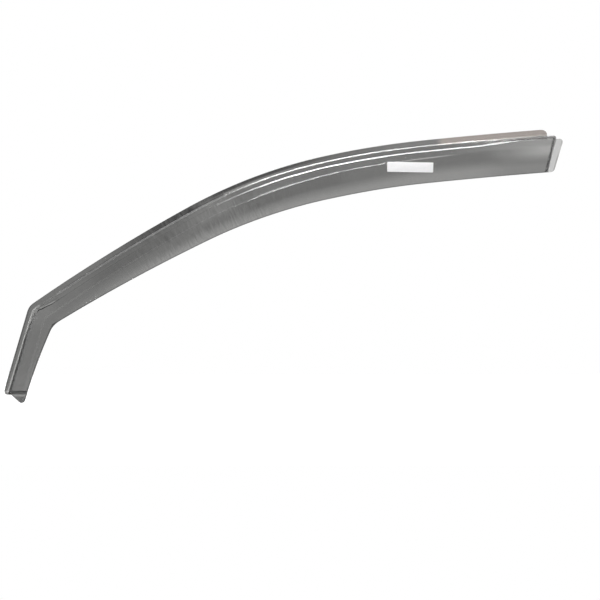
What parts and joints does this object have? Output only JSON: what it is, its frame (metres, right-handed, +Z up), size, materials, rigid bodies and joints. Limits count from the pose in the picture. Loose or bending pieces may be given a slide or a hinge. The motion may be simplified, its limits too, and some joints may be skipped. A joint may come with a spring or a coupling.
{
  "type": "window rain deflector",
  "caption": "Smoked acrylic rain deflector for a car's left front side window: a flange for the window channel and a band that stands off the glass.",
  "frame": {"origin": "on the flat back of the flange, on the flange's middle line, at the middle of the arch", "axes": "+X towards the rear of the car, +Z up, -Y outwards from the window; the back of the flange lies in the plane Y = 0 and faces +Y"},
  "size_m": [0.8153, 0.0172, 0.3989],
  "materials": {
    "smoked_acrylic": "glossy, grey-tinted clear acrylic sheet",
    "label_film": "white film with a satin face"
  },
  "bodies": {
    "root": {"deflector": "smoked_acrylic", "label": "label_film"}
  },
  "joints": []
}
